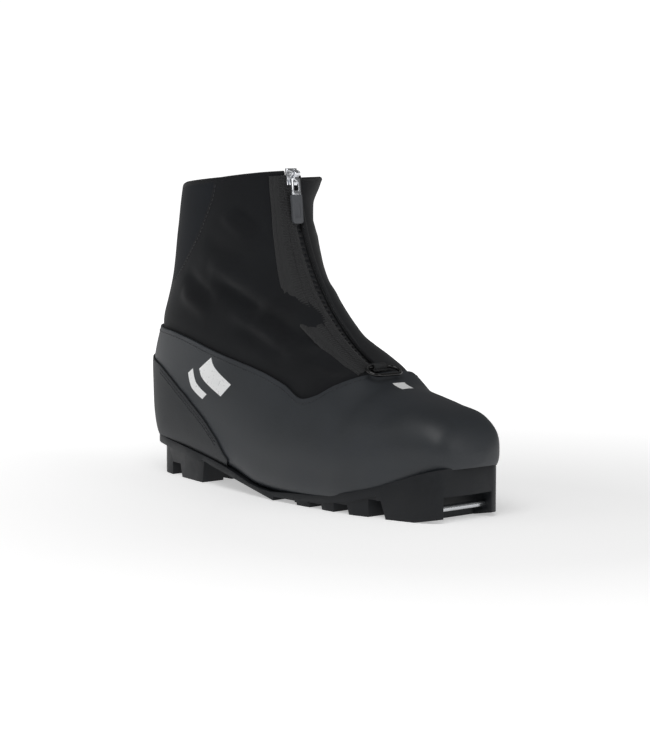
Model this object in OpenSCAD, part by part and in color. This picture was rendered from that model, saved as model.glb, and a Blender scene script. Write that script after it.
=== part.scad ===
// Cross country ski boot, right foot: lasted shell, zipped gaiter and a sole with a toe bar.
// X runs to the toe, Y to the wearer's left (the inner side), Z up.
// The origin is the middle of the toe bar's axis. Sizes in mm.

/* [Sole] */
// Height of the toe bar's axis above the ground
bar_h = 8; // [6:0.5:12]
// Diameter of the toe bar
bar_d = 4; // [3:0.5:5]
// Length of the bar inside the pocket
pocket_w = 40; // [32:1:44]
// How far the bar is held in each wall of the pocket
bar_hold = 5; // [3:0.5:6]
// Height of the pocket's roof above the ground
pocket_h = 16; // [12:0.5:20]
// Width of each guide groove
groove_w = 7; // [5:0.5:9]
// Spacing of the two guide grooves
groove_gap = 23; // [18:1:30]

/* [Upper] */
// Thickness of the lower shell
shell_t = 1.8; // [1.2:0.1:2.4]
// Thickness of the gaiter's fabric
gaiter_t = 1.4; // [0.8:0.1:1.6]
// Thickness of the padded lining
lining_t = 2.6; // [1.5:0.1:4]
// Thickness of the tongue
tongue_t = 4; // [2:0.5:6]
// Thickness of the heel panel
panel_t = 1.2; // [0.8:0.1:2]

/* [Zip] */
// Radius of the zip's arc over the instep
zip_r = 150; // [145:1:155]
// Sideways place of the zip, minus is the outer side
zip_y = -1.5; // [-4:0.5:4]
// Width of one zip tape
tape_w = 4; // [3:0.5:5]
// Angle on the arc at which the closed slider rests
slider_a = 5.5; // [5:0.5:8]
// Angle on the arc at which the zip ends
zip_end_a = 63; // [60:0.5:64]
// Spacing of the coil's turns, as an angle on the arc
coil_step = 1.5; // [0.7:0.1:1.5]

/* [Puller and ring] */
// Length of the puller's metal link
link_len = 14; // [10:1:18]
// Length of the rubber tag
tag_len = 19; // [14:1:24]
// Width of the rubber tag
tag_w = 8.4; // [6:0.2:10]
// Wire diameter of the gaiter ring
ring_d = 2.4; // [2:0.2:3]
// Straight length of the gaiter ring
ring_straight = 14; // [10:1:18]
// Angle on the arc at which the ring lies
ring_a = 67; // [66:0.5:68]

/* [Hidden] */
$fn = 48;
gap = 0.3;
zip_cx = -11;
zip_cz = 221;
shell_o = shell_t / 2;
skin_o = -shell_o - gap;
skin_i = skin_o - gaiter_t;
lining_o = skin_i - 1;
lining_i = skin_i - 0.5 - lining_t;
tape_r = zip_r - skin_o - 0.2;
tape_t = 0.8;
slit = 0.5;
collar_a = 5.2;
fold_in = 0.7;
coil_w = 3.4;
coil_t = 1;
pin_x = 3.8;
pin_z = 2;
pin_d = 1.6;
eye_d = 4.2;
link_t = 1.5;
ring_bend = 5.5;
ring_x = 3;
around = 32;

// A point of the zip's arc, and points at a given x or z on the ray through it
function arc_pt(a) = [zip_cx - zip_r * cos(a), zip_cz - zip_r * sin(a)];
function at_x(a, x) = let (t = arc_pt(a)) [x, t[1] - (t[0] - x) * tan(a)];
function at_z(a, z) = let (t = arc_pt(a)) [t[0] - (t[1] - z) / tan(a), z];

// One section: ridge, base, [outer half, inner half, centre y],
// share of the height at the widest place, [top outer, top inner, bottom] fullness, toe share
function section(ridge, base, wide, share, full, toe) =
  concat(ridge, base, wide, [share], full, [toe]);

sections = [
  section(arc_pt(3), at_x(3, -256), [42, 52, 2], 0.5, [2.2, 2.3, 2.2], 0),
  section(arc_pt(7), at_x(7, -261), [42, 46, 2], 0.5, [2.2, 2.2, 2.2], 0),
  section(arc_pt(12), at_x(12, -266), [42, 40, 2], 0.5, [2.2, 2, 2.2], 0),
  section(arc_pt(19), at_x(19, -276), [41, 40, 3], 0.48, [2.1, 2, 2.2], 0),
  section(arc_pt(24), at_x(24, -288), [41, 39, 3], 0.45, [2, 2.1, 2.2], 0),
  section(arc_pt(28), at_x(28, -298), [40, 39, 3], 0.42, [2, 2.15, 2.2], 0),
  section(arc_pt(32), at_x(32, -297), [39, 38, 3], 0.38, [2, 2.3, 2.2], 0),
  section(arc_pt(36), at_z(36, 20), [39, 38, 3], 0.36, [1.9, 2.6, 2.4], 0),
  section(arc_pt(42), at_z(42, 14), [41, 39, 3], 0.32, [1.9, 2.6, 2.8], 0),
  section(arc_pt(50), at_z(50, 10), [44, 41, 3], 0.28, [1.9, 2.8, 3.6], 0),
  section(arc_pt(58), at_z(58, 3), [48, 43, 3], 0.26, [2, 3.4, 3.8], 0),
  section(arc_pt(65), at_z(65, 1), [49, 45, 3], 0.28, [2.1, 3.2, 3.8], 0),
  section([-57, 76], [-75, 1], [48, 47, 3], 0.32, [2.2, 2.4, 3.8], 0),
  section([-38, 72], [-47, 4], [44, 44, 4], 0.36, [2.3, 2.2, 3.8], 0),
  section([-21, 68.6], [-24, 12], [37.5, 36, 4], 0.4, [2.5, 2.3, 3.4], 0.1),
  section([-7, 64.4], [-7, 20], [32, 30, 4.5], 0.42, [2.5, 2.9, 3.2], 0.3),
  section([2.5, 58.4], [2.5, 25], [27, 25.5, 4.5], 0.44, [2.4, 2.9, 2.8], 0.6),
  section([7.2, 51.5], [7.2, 29], [20.5, 19.5, 4.5], 0.46, [2.3, 2.6, 2.6], 0.9),
  section([9.4, 46], [9.4, 32], [13, 12, 4.5], 0.5, [2.2, 2.2, 2.4], 1),
  section([10.5, 41.5], [10.5, 35], [5, 5, 4.5], 0.5, [2, 2, 2], 1)
];

// Smooth curve through a list of rows, without overshoot
function slope(rows, k, c) =
  k <= 0 ? rows[1][c] - rows[0][c] :
  k >= len(rows) - 1 ? rows[k][c] - rows[k - 1][c] :
  let (before = rows[k][c] - rows[k - 1][c], after = rows[k + 1][c] - rows[k][c])
  before * after <= 0 ? 0 : 2 * before * after / (before + after);
function between(rows, k, t) = [for (c = [0:len(rows[0]) - 1])
  (2 * t ^ 3 - 3 * t ^ 2 + 1) * rows[k][c] + (t ^ 3 - 2 * t ^ 2 + t) * slope(rows, k, c)
  + (3 * t ^ 2 - 2 * t ^ 3) * rows[k + 1][c] + (t ^ 3 - t ^ 2) * slope(rows, k + 1, c)];
function smooth(rows, steps) = [for (k = [0:len(rows) - 2], s = [0:steps - 1])
  between(rows, k, s / steps), rows[len(rows) - 1]];

// A point of one section grown by an offset: 0 degrees is the ridge, 90 the outer side
function form_pt(s, offset, turn) =
  let (
    run = [s[0] - s[2], s[1] - s[3]], high = norm(run), dir = run / high,
    grow = offset * (1 - s[11]),
    c = cos(turn), w = sin(turn),
    full = c >= 0 ? (w >= 0 ? s[8] : s[9]) : s[10],
    part = c >= 0 ? high * (1 - s[7]) + grow : high * s[7] + grow,
    along = high * s[7] + sign(c) * part * abs(c) ^ (2 / full),
    half = (w >= 0 ? s[4] : s[5]) + grow
  )
  [s[2] + dir[0] * along + s[11] * offset,
   s[6] - sign(w) * half * abs(w) ^ (2 / full),
   s[3] + dir[1] * along];
function ring_pts(s, offset, count) = [for (j = [0:count - 1]) form_pt(s, offset, 360 * j / count)];

function flip(faces) = [for (f = faces) [for (k = [len(f) - 1:-1:0]) f[k]]];
function skin_faces(rows, count, start) = [for (i = [0:rows - 2], j = [0:count - 1])
  let (a = start + i * count + j, b = start + i * count + (j + 1) % count)
  each [[a, b, b + count], [a, b + count, a + count]]];

// The boot's form as a skin between two offsets, open at the collar
module skin(outer, inner, steps = 2, count = around) {
  rows = smooth(sections, steps);
  n = len(rows);
  half = n * count;
  last = (n - 1) * count;
  polyhedron(
    points = concat(
      [for (s = rows) each ring_pts(s, outer, count)],
      [for (s = rows) each ring_pts(s, inner, count)]),
    faces = concat(
      skin_faces(n, count, 0),
      flip(skin_faces(n, count, half)),
      [for (j = [0:count - 1]) let (k = (j + 1) % count)
        each [[k, j, half + j], [k, half + j, half + k]]],
      [[for (j = [0:count - 1]) last + j]],
      flip([[for (j = [0:count - 1]) half + last + j]])),
    convexity = 6);
}

// A piece of that skin: some of its sections, between two turns
module patch(rows, outer, inner, turn0, turn1, steps) {
  n = len(rows);
  wide = steps + 1;
  half = n * wide;
  last = half - wide;
  polyhedron(
    points = [for (o = [outer, inner], s = rows, j = [0:steps])
      form_pt(s, o, turn0 + (turn1 - turn0) * j / steps)],
    faces = concat(
      [for (i = [0:n - 2], j = [0:steps - 1]) let (a = i * wide + j)
        each [[a, a + 1, a + 1 + wide], [a, a + 1 + wide, a + wide]]],
      [for (i = [0:n - 2], j = [0:steps - 1]) let (a = half + i * wide + j)
        each [[a + 1 + wide, a + 1, a], [a + wide, a + 1 + wide, a]]],
      [for (j = [0:steps - 1]) each [[j + 1, j, half + j], [j + 1, half + j, half + j + 1]]],
      [for (j = [last:last + steps - 1]) each [[j, j + 1, half + j + 1], [j, half + j + 1, half + j]]],
      [for (i = [0:n - 2]) let (a = i * wide)
        each [[a, a + wide, half + a + wide], [a, half + a + wide, half + a]]],
      [for (i = [0:n - 2]) let (a = i * wide + steps)
        each [[a + wide, a, half + a], [a + wide, half + a, half + a + wide]]]),
    convexity = 6);
}

// Lines seen from the side, in x and height above the ground
sole_line = [[-302, 30], [-286, 28], [-262, 25.5], [-239, 23.2], [-214, 20.2],
  [-197, 17.8], [-184, 15.4], [-173, 13], [-165, 10.8], [-154, 8], [-142, 6.4], [-131, 5.4],
  [-111, 7], [-85, 8.6], [-70, 11.2], [-53, 14.2], [-32, 20], [-7, 29], [10, 34], [26, 35]];
shell_edge = [[-310, 106], [-276, 104], [-247, 102], [-228, 98], [-211, 93], [-192, 88], [-176, 85],
  [-150, 80], [-128, 74], [-107, 67], [-96, 70], [-87, 76], [-78, 81], [-70, 85.5], [-64, 100]];
panel_edge = [[-310, 86], [-290, 83], [-263, 77], [-249, 70], [-238, 63], [-223, 54], [-207, 44.5],
  [-191, 32.5], [-180, 20.5], [-174.5, 14]];
rear_seam = [[-197, 220], [-197, 204], [-199, 195], [-204, 184], [-213, 170], [-224, 158], [-236, 146],
  [-250, 136], [-310, 118]];

// Outline of the sole from above: x, outer side, inner side
outline = [[-293.8, 3, 3], [-292.8, -7.5, 13.5], [-291, -12.5, 18.5], [-287, -18.3, 23.8],
  [-281, -23.2, 28.7], [-274, -27, 32.5], [-245, -32.7, 37.4], [-210, -37.4, 41.4],
  [-170, -41, 43.9], [-120, -44.5, 46.3], [-90, -44, 47.8],
  [-58, -43.4, 48.6], [-45, -40.8, 47], [-30, -36.8, 43], [-15, -32.6, 37.5], [-5, -29.6, 33],
  [1.5, -26.8, 29], [5.2, -23.5, 25], [7, -19, 20], [8.2, -9, 10], [8.6, 2, 4]];

module placed() { translate([0, 0, -bar_h]) children(); }
module side(points, w = 160) {
  rotate([90, 0, 0]) linear_extrude(w, center = true) polygon(points);
}
module plan(inset) {
  rows = smooth(outline, 2);
  mid = -138;
  near = [for (r = rows) [mid + (r[0] - mid) * (1 - inset / 155), min(r[1] + inset, 2.9)]];
  far = [for (r = rows) [mid + (r[0] - mid) * (1 - inset / 155), max(r[2] - inset, 3.1)]];
  linear_extrude(60) polygon(concat(near, [for (k = [len(far) - 1:-1:0]) far[k]]));
}
// A strip that follows the sole line between two heights above it
function strip(low, high) = concat(
  [for (p = sole_line) [p[0], p[1] + low]],
  [for (k = [len(sole_line) - 1:-1:0]) [sole_line[k][0], sole_line[k][1] + high]]);
function raised(line, by) = [for (p = line) [p[0], p[1] + by]];
// The region above a line, closed off under the collar's plane
function above(line, a) = concat(line, [[40, 100], [-90, 260]],
  [arc_pt(a) + [60, 60 * tan(a)], at_x(a, -310)]);
module at_arc(a) {
  translate([arc_pt(a)[0], zip_y, arc_pt(a)[1]]) rotate([0, -a, 0]) children();
}
module arc_band(r0, r1, y0, y1, a0, a1) {
  translate([zip_cx, zip_y, zip_cz]) rotate([90, 0, 0]) rotate([0, 0, 180 + a0])
    rotate_extrude(angle = a1 - a0, $fn = 240)
      translate([r0, -y1]) square([r1 - r0, y1 - y0]);
}

/* ---- sole ---- */
lug_side = [[26, 6], [6, 2.6], [-8, 0], [-126, 0], [-138, 2.4], [-150, 4.6], [-157, 5.8], [-167, 7.6],
  [-180, 10], [-200, 13.8], [-212, 16.5], [-216, 15], [-218, 0], [-278, 0], [-286, 14], [-302, 20]];
// Side recesses between the lugs: x from, x to, height of the roof
recesses = [[-127, -105, 2.8], [-92, -81, 3.6], [-69, -57, 5.8], [-41, -31, 11], [-262, -250, 9]];
recess_in = 13;
// The front wall of each recess leans forward going down
recess_lean = 0.35;
// The rim band runs under the upper, and the lugs stand back from it
rim_h = 5.5;
lug_in = 1.4;
heel_in = 3.6;
// The heel is cut away inside for the midsole's wedge
wedge_in = 16;
function wedge_cut(by) = [[-302, 11 + by], [-228 - by, 11 + by], [-220 - by, 60], [-302, 60]];
module outsole() color([0.2, 0.2, 0.21]) placed() difference() {
  intersection() {
    union() {
      intersection() {
        plan(lug_in);
        translate([-205, -100, 0]) cube([260, 200, 60]);
      }
      plan(heel_in);
      intersection() {
        plan(0);
        union() {
          side(strip(-rim_h, 1));
          translate([-34, -100, 0]) cube([80, 200, 60]);
        }
      }
    }
    side(concat(sole_line, lug_side));
  }
  side([[-9, -1], [30, -1], [30, pocket_h], [-5, pocket_h]], pocket_w);
  intersection() {
    plan(wedge_in);
    side(wedge_cut(0));
  }
  translate([0, 0, bar_h]) rotate([90, 0, 0])
    cylinder(h = pocket_w + 2 * bar_hold + 0.6, d = bar_d + 0.1, center = true);
  for (r = recesses, s = [-1, 1])
    let (rows = [for (o = outline) if (o[0] > r[0] - 14 && o[0] < r[1] + 14) s < 0 ? -o[1] : o[2]],
      edge = min(rows))
    translate([0, s < 0 ? recess_in - edge : 60, 0]) rotate([90, 0, 0])
      linear_extrude(60 - edge + recess_in)
        polygon([[r[0], -1], [r[1] + recess_lean * r[2], -1], [r[1], r[2]], [r[0], r[2]]]);
  for (s = [-1, 1]) translate([0, s * groove_gap / 2, 0]) {
    translate([-150, -groove_w / 2, -1]) cube([122, groove_w, 5]);
    translate([-300, -groove_w / 2, -1]) cube([100, groove_w, 7]);
  }
}
module toe_bar() color([0.8, 0.81, 0.83]) rotate([90, 0, 0])
  cylinder(h = pocket_w + 2 * bar_hold, d = bar_d, center = true);
module midsole() color([0.15, 0.15, 0.16]) placed() union() {
  intersection() {
    plan(9);
    side(strip(0.2, 4.4));
  }
  intersection() {
    plan(wedge_in + 0.3);
    side(wedge_cut(0.3));
    side(strip(-40, 2));
  }
}
module shank() color([0.85, 0.8, 0.6]) placed() intersection() {
  translate([-235, -11, 0]) cube([115, 26, 60]);
  side(strip(4.6, 5.8));
}
module lasting_board() color([0.75, 0.7, 0.6]) placed() intersection() {
  plan(8);
  side(strip(6, 8));
}
module insole() color([0.25, 0.25, 0.27]) placed() intersection() {
  plan(11);
  side(strip(8.2, 12.2));
}

/* ---- upper ---- */
module shell() color([0.21, 0.22, 0.24]) placed() intersection() {
  skin(shell_o, -shell_o);
  side(concat([for (k = [len(shell_edge) - 1:-1:0]) shell_edge[k]], raised(sole_line, 0.2), [[40, 100]]));
}
module heel_panel() color([0.27, 0.27, 0.28]) placed() intersection() {
  skin(shell_o + gap + panel_t, shell_o + gap);
  side(concat([[-310, 31]], [for (p = sole_line) if (p[0] > -300 && p[0] < -176) p + [0, 0.2]],
    [for (k = [len(panel_edge) - 1:-1:0]) panel_edge[k]]));
}
module heel_counter() color([0.5, 0.5, 0.48]) placed() intersection() {
  skin(skin_o, skin_i, 1);
  side([[-310, 34], [-212, 26], [-216, 52], [-250, 72], [-310, 76]]);
}
module toe_puff() color([0.5, 0.5, 0.48]) placed() intersection() {
  skin(skin_o, skin_i, 1);
  side(concat([for (p = sole_line) if (p[0] > -33) p + [0, 0.4]], [[30, 90], [-28, 90]]));
}
// Gaiter: runs under the shell's edge and stops beside the zip
gaiter_line = raised(shell_edge, -9);
module gaiter_skin() { intersection() { skin(skin_o, skin_i); side(above(gaiter_line, collar_a)); } }
module gaiter_front(s) {
  difference() {
    gaiter_skin();
    translate([-320, s < 0 ? zip_y - tape_w - fold_in : -100, 0])
      cube([400, 100 + (s < 0 ? -zip_y : zip_y) + tape_w + fold_in, 300]);
    side(concat(rear_seam, [[-330, 118], [-330, 220]]));
  }
}
module gaiter_lateral() color([0.15, 0.16, 0.17]) placed() gaiter_front(-1);
module gaiter_medial() color([0.15, 0.16, 0.17]) placed() gaiter_front(1);
module gaiter_rear() color([0.17, 0.17, 0.19]) placed() intersection() {
  gaiter_skin();
  side(concat([for (p = rear_seam) p + [-0.4, 0.3]], [[-330, 118], [-330, 220]]));
}
module collar_binding() color([0.12, 0.12, 0.13]) placed()
  patch([between(sections, 0, 0.25), between(sections, 0, 0.47)], -0.2, lining_i - 0.2, 12, 354, 36);
throat = [[-182, 150], [-152, 106], [-112, 78], [-74, 62]];
module lining() color([0.3, 0.3, 0.32]) placed() difference() {
  intersection() {
    skin(lining_o, lining_i, 1, 24);
    side(above(raised(sole_line, 8.4), 5.1));
  }
  intersection() {
    side(concat([[-187, 240]], throat, [[-56, 90], [-90, 240]]));
    translate([-320, zip_y - 22, 0]) cube([400, 44, 300]);
  }
}
module tongue() color([0.24, 0.24, 0.26]) placed()
  patch([for (k = [1:10], t = [0, 0.5]) between(sections, k, t)],
    lining_o, lining_o - tongue_t, -14, 26, 8);

/* ---- zip ---- */
module tape(s) {
  near = s < 0 ? -tape_w - slit : slit;
  arc_band(tape_r, tape_r + tape_t, near, near + tape_w, collar_a, zip_end_a);
}
module coil(s) {
  for (a = [6:coil_step:zip_end_a - 1.5])
    at_arc(a + (s < 0 ? 0 : coil_step / 2))
      translate([-(tape_r - zip_r) - tape_t - 0.1 - coil_t, s < 0 ? -coil_w : -0.3, -0.5])
        cube([coil_t, coil_w + 0.3, 1]);
}
module zip_tape_lateral() color([0.1, 0.1, 0.11]) placed() tape(-1);
module zip_tape_medial() color([0.1, 0.1, 0.11]) placed() tape(1);
module zip_teeth_lateral() color([0.2, 0.2, 0.21]) placed() coil(-1);
module zip_teeth_medial() color([0.2, 0.2, 0.21]) placed() coil(1);
module zip_bottom_stop() color([0.7, 0.71, 0.73]) placed() at_arc(zip_end_a - 0.6)
  translate([-(tape_r - zip_r) + 0.1, -2.2, -1]) cube([1, 4.4, 2]);
module zip_slider() color([0.85, 0.86, 0.88]) placed() at_arc(slider_a) {
  difference() {
    union() {
      translate([-0.8, -4.4, -5.6]) cube([1.6, 8.8, 11.2]);
      for (s = [-1, 1]) translate([0, s * 2.75 - 0.65, 0]) hull() {
        translate([0.6, 0, -2.4]) cube([0.1, 1.3, 7.4]);
        translate([pin_x, 0, pin_z]) rotate([-90, 0, 0]) cylinder(h = 1.3, d = 3.4);
      }
    }
    translate([pin_x, 0, pin_z]) rotate([90, 0, 0]) cylinder(h = 20, d = pin_d, center = true);
  }
  translate([pin_x, 0, pin_z]) rotate([90, 0, 0]) cylinder(h = 6.8, d = pin_d, center = true);
}

/* ---- puller ---- */
link_w = 3.4;
module puller_link() color([0.85, 0.86, 0.88]) placed() at_arc(slider_a)
  translate([pin_x, 0, pin_z]) difference() {
    union() {
      rotate([90, 0, 0]) cylinder(h = link_w, d = eye_d, center = true);
      translate([-link_t / 2, -link_w / 2, -4]) cube([link_t, link_w, 4]);
      translate([-link_t / 2, -3.6, -link_len]) cube([link_t, 7.2, link_len - 3.4]);
      translate([-0.5, -2.4, -link_len - 5]) cube([1, 4.8, 6]);
    }
    rotate([90, 0, 0]) cylinder(h = 20, d = pin_d + 0.4, center = true);
    translate([-5, -1.8, -link_len + 2.6]) cube([10, 3.6, 5.4]);
  }
module puller_tag() color([0.36, 0.36, 0.37]) placed() at_arc(slider_a)
  translate([pin_x, 0, pin_z]) difference() {
    hull() {
      translate([-1.1, -tag_w / 2, -link_len - 3]) cube([2.2, tag_w, 2.8]);
      for (s = [-1, 1]) translate([0, s * (tag_w / 2 - 2), 2 - link_len - tag_len])
        rotate([0, 90, 0]) cylinder(h = 2, r = 2, center = true);
    }
    translate([-0.55, -2.45, -link_len - 5.1]) cube([1.1, 4.9, 6]);
    translate([0.7, -tag_w / 2 + 2, -link_len - 15]) cube([1, tag_w - 4, 9]);
  }

/* ---- gaiter ring ---- */
tab_t = 1.2;
module ring_tab() color([0.1, 0.1, 0.11]) placed() at_arc(ring_a) difference() {
  union() {
    translate([shell_o + 0.5, -5, 0]) cube([1, 10, 11]);
    intersection() {
      translate([ring_x, 0, ring_bend]) rotate([90, 0, 0])
        cylinder(h = 10, r = ring_d / 2 + tab_t, center = true);
      translate([shell_o + 0.5, -6, 0]) cube([10, 12, 12]);
    }
  }
  translate([ring_x, 0, ring_bend]) rotate([90, 0, 0])
    cylinder(h = 20, r = ring_d / 2 + gap, center = true);
  translate([shell_o, -6, -1]) cube([10, 12, 3]);
}
module gaiter_ring() color([0.06, 0.06, 0.07]) placed() at_arc(ring_a) translate([ring_x, 0, 0])
  rotate([0, 90, 0]) {
    for (s = [-1, 1]) {
      translate([s * ring_bend, 0, 0]) rotate([90, 0, 0])
        cylinder(h = ring_straight, d = ring_d, center = true);
      translate([0, s * ring_straight / 2, 0]) rotate([0, 0, s > 0 ? 0 : 180])
        rotate_extrude(angle = 180) translate([ring_bend, 0]) circle(d = ring_d);
    }
  }

/* ---- trim ---- */
module heel_loop() color([0.12, 0.12, 0.13]) placed() translate([0, 3, 0])
  side([[-284.9, 113], [-289.2, 104.5], [-297.5, 96.5], [-304, 88.5], [-304.6, 82], [-300.8, 76.6],
    [-299.1, 76.6], [-302.4, 82.6], [-301.9, 87.4], [-295.4, 95], [-287.3, 103.2], [-282.6, 112.2]], 12);
// Printed marks, as thin patches of the form: a wide and a narrow bar on the side, one on the instep
print_o = shell_o + 0.7;
print_i = shell_o + 0.2;
// Each bar: place along the sections from, to, turn from, to
bars = [[6.7, 7.95, 72, 79], [6.5, 7.6, 82.5, 85.5]];
module side_print() color([0.9, 0.9, 0.9]) placed()
  for (b = bars)
    patch([for (t = [0:0.25:1]) let (k = b[0] + (b[1] - b[0]) * t)
      between(sections, floor(k), k - floor(k))], print_o, print_i, b[2], b[3], 4);
module toe_print() color([0.9, 0.9, 0.9]) placed()
  patch([between(sections, 11, 0.8), sections[12], between(sections, 12, 0.3)], print_o, print_i, -4, 4, 3);

/* ---- part ---- */

outsole();
toe_bar();
midsole();
shank();
lasting_board();
insole();
shell();
heel_panel();
heel_counter();
toe_puff();
gaiter_lateral();
gaiter_medial();
gaiter_rear();
collar_binding();
lining();
tongue();
zip_tape_lateral();
zip_tape_medial();
zip_teeth_lateral();
zip_teeth_medial();
zip_bottom_stop();
zip_slider();
puller_link();
puller_tag();
ring_tab();
gaiter_ring();
heel_loop();
side_print();
toe_print();
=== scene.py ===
import bpy
import bmesh
import math
import numpy as np
from mathutils import Vector, Matrix
from mathutils.bvhtree import BVHTree


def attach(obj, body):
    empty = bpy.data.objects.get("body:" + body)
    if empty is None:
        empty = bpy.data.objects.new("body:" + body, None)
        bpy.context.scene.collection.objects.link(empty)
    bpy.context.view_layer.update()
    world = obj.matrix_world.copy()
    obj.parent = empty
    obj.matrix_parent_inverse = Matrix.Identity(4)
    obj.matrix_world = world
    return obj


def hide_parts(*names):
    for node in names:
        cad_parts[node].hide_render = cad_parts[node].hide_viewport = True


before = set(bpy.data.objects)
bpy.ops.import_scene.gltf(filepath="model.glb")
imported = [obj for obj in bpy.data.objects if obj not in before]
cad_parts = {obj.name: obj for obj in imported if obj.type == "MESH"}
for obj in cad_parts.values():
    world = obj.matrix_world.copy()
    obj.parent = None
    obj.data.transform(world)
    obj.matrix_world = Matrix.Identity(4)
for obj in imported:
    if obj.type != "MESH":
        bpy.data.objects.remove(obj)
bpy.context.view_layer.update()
print("frame loaded")

mm = 0.001
barHeight = 8
floorZ = -barHeight * mm
zipCentre = (-11, 221)
zipRadius = 150
zipSide = -1.5


def clearSelection():
    if bpy.context.object and bpy.context.object.mode != "OBJECT":
        bpy.ops.object.mode_set(mode="OBJECT")
    bpy.ops.object.select_all(action="DESELECT")


def choose(obj):
    clearSelection()
    obj.select_set(True)
    bpy.context.view_layer.objects.active = obj


def applyModifier(obj, kind, **settings):
    choose(obj)
    bpy.ops.object.modifier_add(type=kind)
    modifier = obj.modifiers[-1]
    for key, value in settings.items():
        setattr(modifier, key, value)
    bpy.ops.object.modifier_apply(modifier=modifier.name)


def smooth(obj, angle=40):
    choose(obj)
    bpy.ops.object.shade_smooth_by_angle(angle=math.radians(angle))


def newObject(name, verts, faces):
    mesh = bpy.data.meshes.new(name)
    mesh.from_pydata([tuple(v) for v in verts], [], [tuple(f) for f in faces])
    mesh.update()
    obj = bpy.data.objects.new(name, mesh)
    bpy.context.scene.collection.objects.link(obj)
    return obj


def settle(obj, body, slot, material, *nodes):
    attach(obj, body)
    if nodes:
        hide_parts(*nodes)
    obj.data.materials.clear()
    obj.data.materials.append(material)


# The form of the boot
# Sections stand in planes that fan out from the zip arc's centre, in millimetres above the ground:
# ridge x z, base x z, outer half, inner half, centre y, share, fullness (outer, inner, base), toe share


def arcPoint(angle):
    a = math.radians(angle)
    return (zipCentre[0] - zipRadius * math.cos(a), zipCentre[1] - zipRadius * math.sin(a))


def baseAtX(angle, x):
    top = arcPoint(angle)
    return (x, top[1] - (top[0] - x) * math.tan(math.radians(angle)))


def baseAtZ(angle, z):
    top = arcPoint(angle)
    return (top[0] - (top[1] - z) / math.tan(math.radians(angle)), z)


sections = np.array([
    [*arcPoint(3), *baseAtX(3, -256), 42, 52, 2, 0.50, 2.2, 2.3, 2.2, 0],
    [*arcPoint(7), *baseAtX(7, -261), 42, 46, 2, 0.50, 2.2, 2.2, 2.2, 0],
    [*arcPoint(12), *baseAtX(12, -266), 42, 40, 2, 0.50, 2.2, 2.0, 2.2, 0],
    [*arcPoint(19), *baseAtX(19, -276), 41, 40, 3, 0.48, 2.1, 2.0, 2.2, 0],
    [*arcPoint(24), *baseAtX(24, -288), 41, 39, 3, 0.45, 2.0, 2.1, 2.2, 0],
    [*arcPoint(28), *baseAtX(28, -298), 40, 39, 3, 0.42, 2.0, 2.15, 2.2, 0],
    [*arcPoint(32), *baseAtX(32, -297), 39, 38, 3, 0.38, 2.0, 2.3, 2.2, 0],
    [*arcPoint(36), *baseAtZ(36, 20), 39, 38, 3, 0.36, 1.9, 2.6, 2.4, 0],
    [*arcPoint(42), *baseAtZ(42, 14), 41, 39, 3, 0.32, 1.9, 2.6, 2.8, 0],
    [*arcPoint(50), *baseAtZ(50, 10), 44, 41, 3, 0.28, 1.9, 2.8, 3.6, 0],
    [*arcPoint(58), *baseAtZ(58, 3), 48, 43, 3, 0.26, 2.0, 3.4, 3.8, 0],
    [*arcPoint(65), *baseAtZ(65, 1), 49, 45, 3, 0.28, 2.1, 3.2, 3.8, 0],
    [-57, 76, -75, 1, 48, 47, 3, 0.32, 2.2, 2.4, 3.8, 0],
    [-38, 72, -47, 4, 44, 44, 4, 0.36, 2.3, 2.2, 3.8, 0],
    [-21, 68.6, -24, 12, 37.5, 36, 4, 0.40, 2.5, 2.3, 3.4, 0.1],
    [-7, 64.4, -7, 20, 32, 30, 4.5, 0.42, 2.5, 2.9, 3.2, 0.3],
    [2.5, 58.4, 2.5, 25, 27, 25.5, 4.5, 0.44, 2.4, 2.9, 2.8, 0.6],
    [7.2, 51.5, 7.2, 29, 20.5, 19.5, 4.5, 0.46, 2.3, 2.6, 2.6, 0.9],
    [9.4, 46, 9.4, 32, 13, 12, 4.5, 0.50, 2.2, 2.2, 2.4, 1],
    [10.5, 41.5, 10.5, 35, 5, 5, 4.5, 0.50, 2.0, 2.0, 2.0, 1],
    [10.7, 38.8, 10.7, 38.2, 0.4, 0.4, 4.5, 0.50, 2.0, 2.0, 2.0, 1]], float)


def curveSlopes(rows):
    steps = rows[1:] - rows[:-1]
    slopes = np.zeros_like(rows)
    slopes[0], slopes[-1] = steps[0], steps[-1]
    before, after = steps[:-1], steps[1:]
    together = before * after > 0
    slopes[1:-1] = np.where(together, 2 * before * after / np.where(together, before + after, 1), 0)
    return slopes


sectionSlopes = curveSlopes(sections)


def rowsAt(places, table=sections, slopes=sectionSlopes):
    places = np.atleast_1d(places).astype(float)
    k = np.clip(places.astype(int), 0, len(table) - 2)
    t = (places - k)[:, None]
    return ((2 * t**3 - 3 * t**2 + 1) * table[k] + (t**3 - 2 * t**2 + t) * slopes[k]
            + (3 * t**2 - 2 * t**3) * table[k + 1] + (t**3 - t**2) * slopes[k + 1])


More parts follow.
